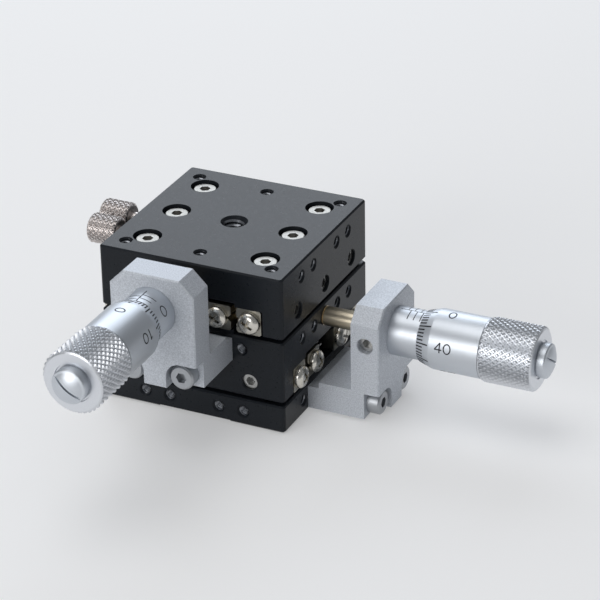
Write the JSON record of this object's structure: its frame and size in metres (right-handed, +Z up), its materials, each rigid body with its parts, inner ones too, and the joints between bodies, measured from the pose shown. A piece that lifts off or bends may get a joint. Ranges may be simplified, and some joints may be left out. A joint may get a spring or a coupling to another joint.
{
  "type": "linear translation stage",
  "caption": "XY linear translation stage: stacked square plates on crossed-roller rails, micrometer heads on angle brackets, and knurled thumb screws that lock the slides.",
  "frame": {"origin": "centre of the base plate's underside, at the middle of its 24 mm square of mounting holes", "axes": "+Z up out of the table; the lower slide and its micrometer lie along +X, the upper slide's micrometer stands out on -Y"},
  "size_m": [0.0754, 0.0754, 0.0287],
  "materials": {
    "black_anodised": "matt black anodised, fine machining marks",
    "silver_anodised": "bead-blasted clear anodised",
    "rail_steel": "ground hardened steel",
    "roller_steel": "polished bearing steel",
    "cage_brass": "stamped strip",
    "spindle_steel": "lapped",
    "satin_chrome": "satin chrome",
    "knob_nickel": "nickel plated, knurled",
    "set_screw_steel": "plain steel",
    "spring_steel": "drawn wire",
    "screw_nickel": "bright nickel plated",
    "bare_thread": "threads cut after anodising, bare metal",
    "engraved_ink": "black paint in engraved lines and figures"
  },
  "bodies": {
    "base": {"base_plate": "black_anodised", "x_inner_rail_front": "rail_steel", "x_inner_rail_back": "rail_steel", "x_inner_rail_screws": "screw_nickel", "x_inner_end_screws": "screw_nickel", "x_bracket": "silver_anodised", "x_bracket_screws": "screw_nickel", "x_clamp_screw": "set_screw_steel", "x_sleeve": "satin_chrome", "x_lock_plate": "black_anodised", "x_lock_plate_screws": "screw_nickel", "x_spring_post_fixed": "spring_steel", "x_spring": "spring_steel"},
    "middle": {"middle_plate": "black_anodised", "x_outer_rail_front": "rail_steel", "x_outer_rail_back": "rail_steel", "x_outer_rail_screws": "screw_nickel", "x_outer_end_screws": "screw_nickel", "x_preload_screws": "set_screw_steel", "x_contact_pin": "spindle_steel", "x_spring_post_moving": "spring_steel", "y_inner_rail_left": "rail_steel", "y_inner_rail_right": "rail_steel", "y_inner_rail_screws": "screw_nickel", "y_inner_end_screws": "screw_nickel", "y_bracket": "silver_anodised", "y_bracket_screws": "screw_nickel", "y_clamp_screw": "set_screw_steel", "y_sleeve": "satin_chrome", "y_lock_plate": "black_anodised", "y_lock_plate_screws": "screw_nickel", "y_spring_post_fixed": "spring_steel", "y_spring": "spring_steel"},
    "table": {"top_plate": "black_anodised", "y_outer_rail_left": "rail_steel", "y_outer_rail_right": "rail_steel", "y_outer_rail_screws": "screw_nickel", "y_outer_end_screws": "screw_nickel", "y_preload_screws": "set_screw_steel", "y_contact_pin": "spindle_steel", "y_spring_post_moving": "spring_steel"},
    "x_micrometer": {"x_spindle": "spindle_steel", "x_thimble": "satin_chrome", "x_end_button": "satin_chrome"},
    "x_cages": {"x_cage_front": "cage_brass", "x_cage_back": "cage_brass", "x_rollers_front": "roller_steel", "x_rollers_back": "roller_steel"},
    "x_thumb_a": {"x_thumb_screw_a": "knob_nickel"},
    "x_thumb_b": {"x_thumb_screw_b": "knob_nickel"},
    "y_micrometer": {"y_spindle": "spindle_steel", "y_thimble": "satin_chrome", "y_end_button": "satin_chrome"},
    "y_cages": {"y_cage_left": "cage_brass", "y_cage_right": "cage_brass", "y_rollers_left": "roller_steel", "y_rollers_right": "roller_steel"},
    "y_thumb_a": {"y_thumb_screw_a": "knob_nickel"},
    "y_thumb_b": {"y_thumb_screw_b": "knob_nickel"}
  },
  "joints": [
    {"name": "x_travel", "type": "slide", "parent": "base", "child": "middle", "axis": [1, 0, 0], "range_m": [-0.0025, 0.0025], "deforming": ["x_spring"]},
    {"name": "y_travel", "type": "slide", "parent": "middle", "child": "table", "axis": [0, -1, 0], "range_m": [-0.0025, 0.0025], "deforming": ["y_spring"]},
    {"name": "x_thimble_turn", "type": "hinge", "parent": "middle", "child": "x_micrometer", "pos_m": [0.0225, 0, 0.0126], "axis": [1, 0, 0], "range_deg": [-1800, 1800]},
    {"name": "x_cage_travel", "type": "slide", "parent": "base", "child": "x_cages", "axis": [1, 0, 0], "range_m": [-0.00125, 0.00125]},
    {"name": "y_thimble_turn", "type": "hinge", "parent": "table", "child": "y_micrometer", "pos_m": [0, -0.0225, 0.0231], "axis": [0, -1, 0], "range_deg": [-1800, 1800]},
    {"name": "y_cage_travel", "type": "slide", "parent": "middle", "child": "y_cages", "axis": [0, -1, 0], "range_m": [-0.00125, 0.00125]},
    {"name": "x_thumb_a_turn", "type": "hinge", "parent": "middle", "child": "x_thumb_a", "pos_m": [0.00263, 0.0194, 0.0107], "axis": [0, 1, 0], "range_deg": [-1800, 720]},
    {"name": "x_thumb_b_turn", "type": "hinge", "parent": "middle", "child": "x_thumb_b", "pos_m": [-0.00263, 0.0194, 0.0107], "axis": [0, 1, 0], "range_deg": [-1800, 720]},
    {"name": "y_thumb_a_turn", "type": "hinge", "parent": "table", "child": "y_thumb_a", "pos_m": [-0.0194, 0.00263, 0.0212], "axis": [-1, 0, 0], "range_deg": [-1800, 720]},
    {"name": "y_thumb_b_turn", "type": "hinge", "parent": "table", "child": "y_thumb_b", "pos_m": [-0.0194, -0.00263, 0.0212], "axis": [-1, 0, 0], "range_deg": [-1800, 720]}
  ],
  "couplings": [
    {"joint": "x_thimble_turn", "follows": "x_travel", "rad_per_m": 12566},
    {"joint": "x_cage_travel", "follows": "x_travel", "ratio": 0.5},
    {"joint": "y_thimble_turn", "follows": "y_travel", "rad_per_m": 12566},
    {"joint": "y_cage_travel", "follows": "y_travel", "ratio": 0.5}
  ]
}
